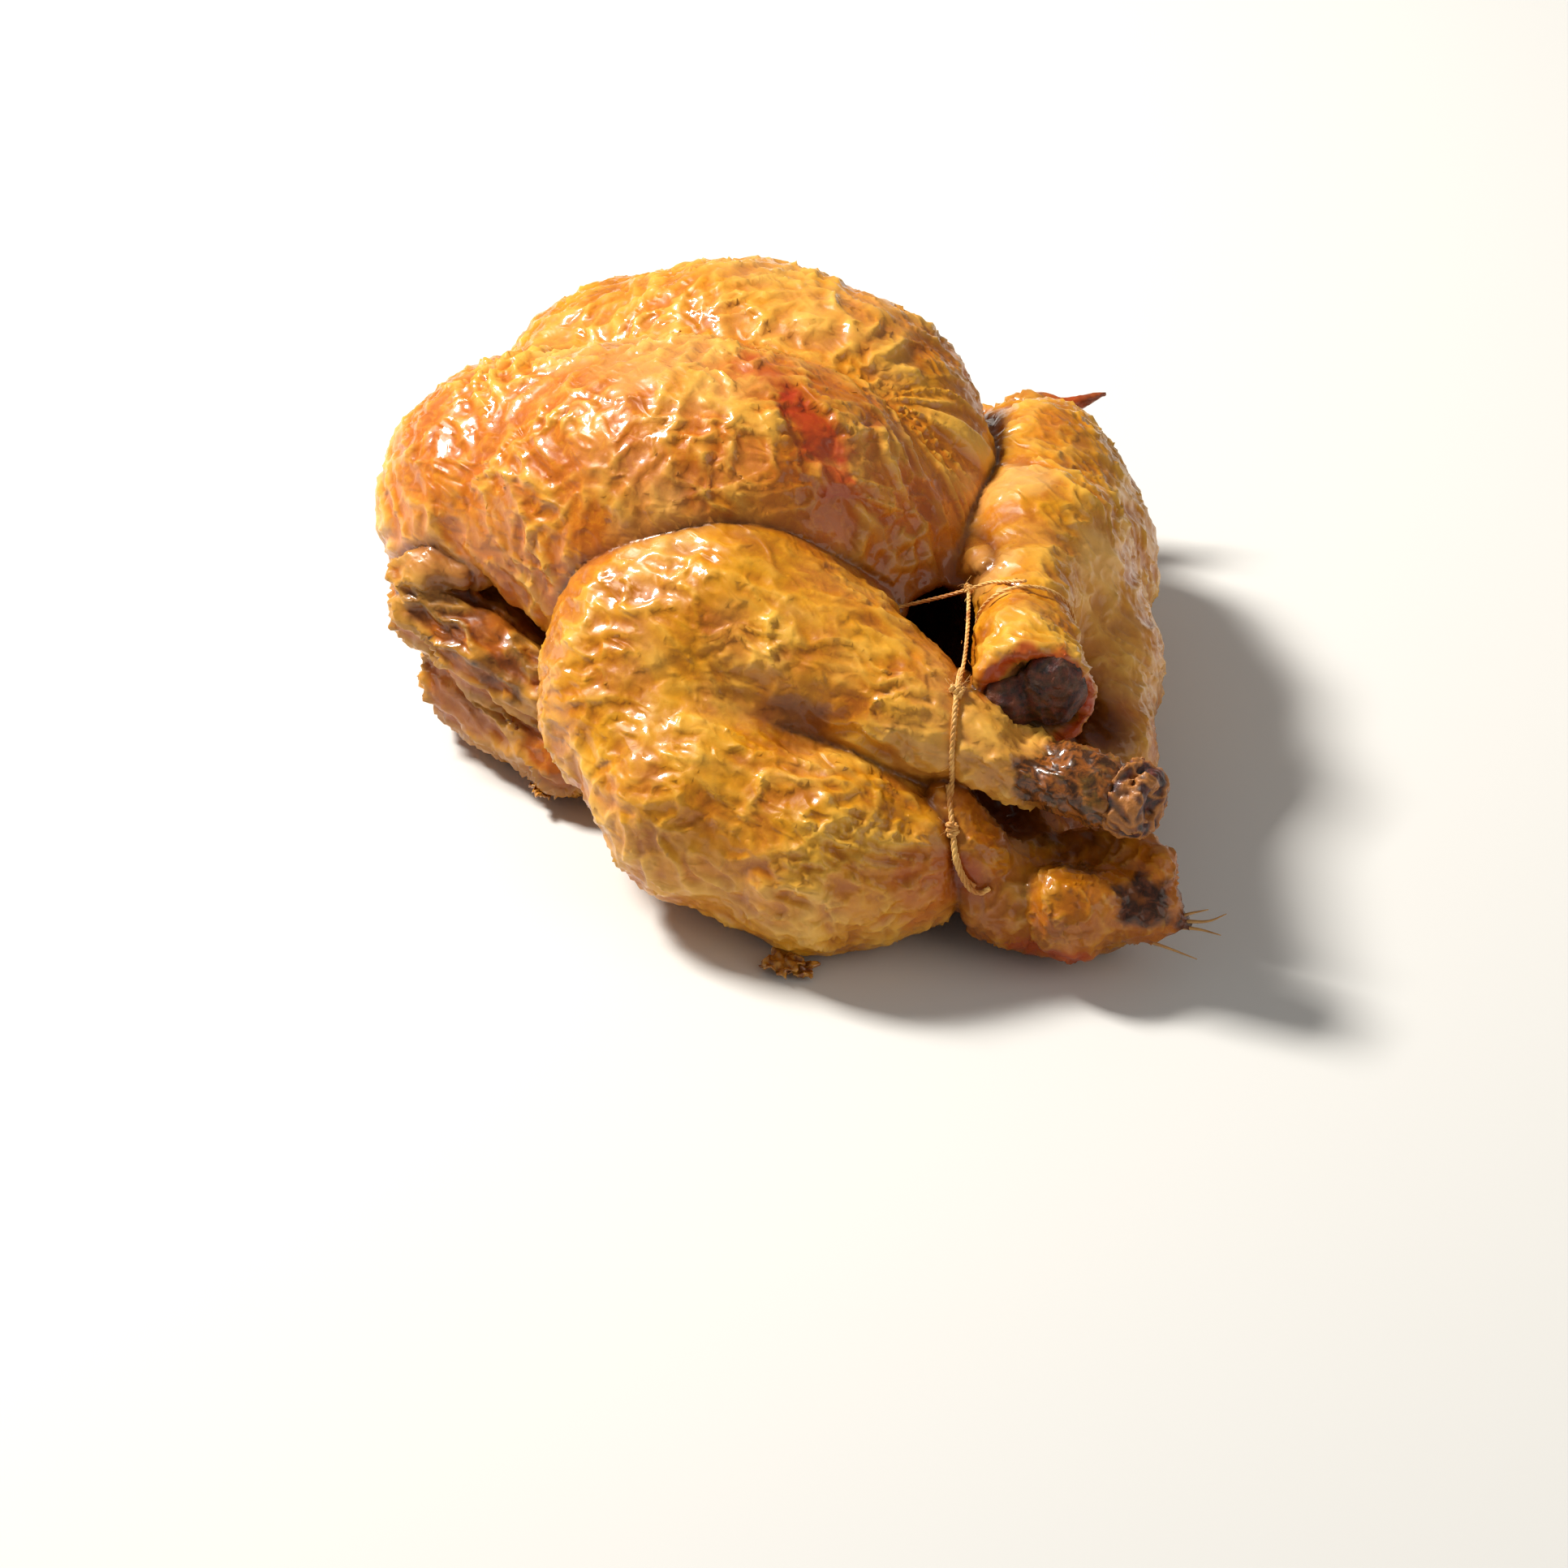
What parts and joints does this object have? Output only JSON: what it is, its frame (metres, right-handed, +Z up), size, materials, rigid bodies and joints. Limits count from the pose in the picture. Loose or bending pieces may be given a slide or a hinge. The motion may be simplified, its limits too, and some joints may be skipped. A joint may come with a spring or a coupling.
{
  "type": "roast chicken",
  "caption": "Whole trussed roast chicken lying on its back, shanks tied over the open body cavity, with crinkled golden skin, charred shank ends and tail",
  "frame": {"origin": "under the middle of the whole, on the surface that it rests on", "axes": "+X towards the tail, +Y towards the bird's leg whose shank is tied on top, +Z up from the back to the breast"},
  "size_m": [0.2498, 0.207, 0.1014],
  "materials": {
    "roast_skin": "glossy, oily roast skin",
    "charred_bone": "satin, charred",
    "twine": "matte, soaked in fat"
  },
  "bodies": {
    "root": {"bird": "roast_skin", "shin_bone_near": "charred_bone", "shin_bone_far": "charred_bone", "twine": "twine"}
  },
  "joints": []
}
